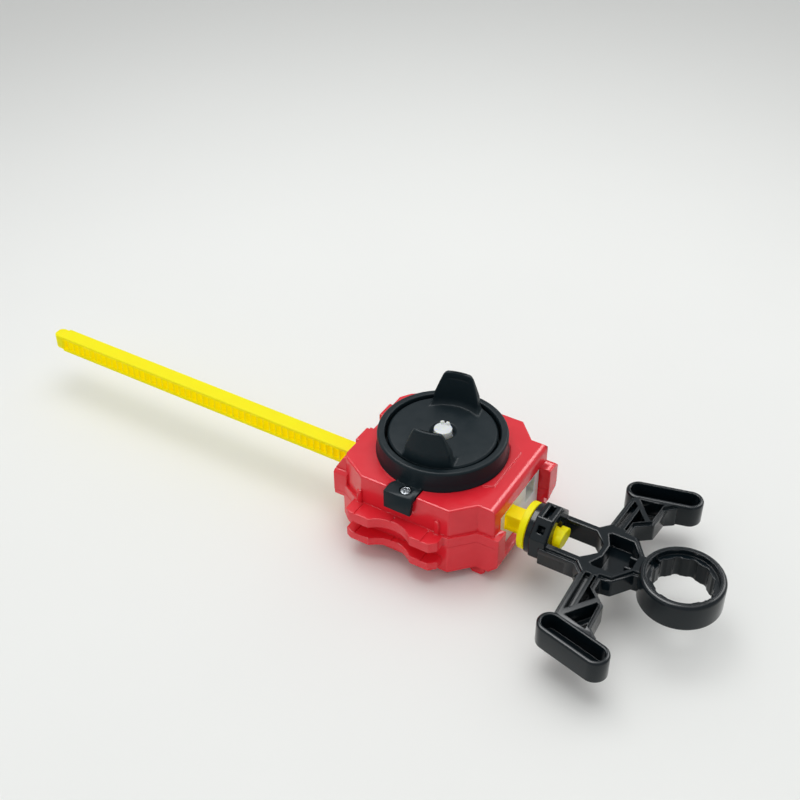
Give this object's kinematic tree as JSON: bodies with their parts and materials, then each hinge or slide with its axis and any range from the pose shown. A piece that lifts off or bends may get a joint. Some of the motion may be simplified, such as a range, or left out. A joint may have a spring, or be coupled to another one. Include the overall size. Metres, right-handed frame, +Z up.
{
  "type": "rip-cord launcher for spinning tops",
  "caption": "Rip-cord launcher for spinning tops: a red casing with a black pronged launch disc, a yellow toothed cord run through it and a black T-shaped handle with a tool ring.",
  "frame": {"origin": "On the resting plane, under the launch disc's spin axis", "axes": "+X along the cord towards the handle, +Y to the side away from the grip rail, +Z up along the spin axis"},
  "size_m": [0.2508, 0.079, 0.0464],
  "materials": {
    "red_plastic": "injection-moulded ABS, semi-gloss",
    "black_plastic": "injection-moulded ABS, satin",
    "yellow_plastic": "injection-moulded nylon, semi-gloss",
    "white_plastic": "moulded acetal, satin",
    "steel": "zinc-plated steel",
    "brass": "turned brass"
  },
  "bodies": {
    "casing": {"base_shell": "red_plastic", "face_shell": "red_plastic", "casing_screws": "steel", "collar_ring": "black_plastic", "collar_screw": "steel", "guide_lower": "white_plastic", "guide_upper": "white_plastic", "guide_screws": "steel", "lower_bush": "brass", "upper_bush": "brass", "thrust_washer": "steel", "lower_washer": "steel"},
    "rotor": {"spindle": "steel", "drive_pinion": "white_plastic", "spindle_clip": "steel", "launch_disc": "black_plastic", "plunger_spring": "steel"},
    "button": {"plunger": "white_plastic"},
    "cord": {"ripcord": "yellow_plastic", "handle": "black_plastic"}
  },
  "joints": [
    {"name": "ripcord_pull", "type": "slide", "parent": "casing", "child": "cord", "axis": [1, 0, 0], "range_m": [0, 0.186]},
    {"name": "rotor_spin", "type": "hinge", "parent": "casing", "child": "rotor", "pos_m": [0, 0, 0.02], "axis": [0, 0, 1], "range_deg": [0, 1910]},
    {"name": "plunger_press", "type": "slide", "parent": "rotor", "child": "button", "axis": [0, 0, -1], "range_m": [0, 0.002], "stiffness_N_per_m": 300, "springref_m": -0.001, "deforming": ["plunger_spring"]}
  ],
  "couplings": [
    {"joint": "rotor_spin", "follows": "ripcord_pull", "rad_per_m": 178.57}
  ]
}
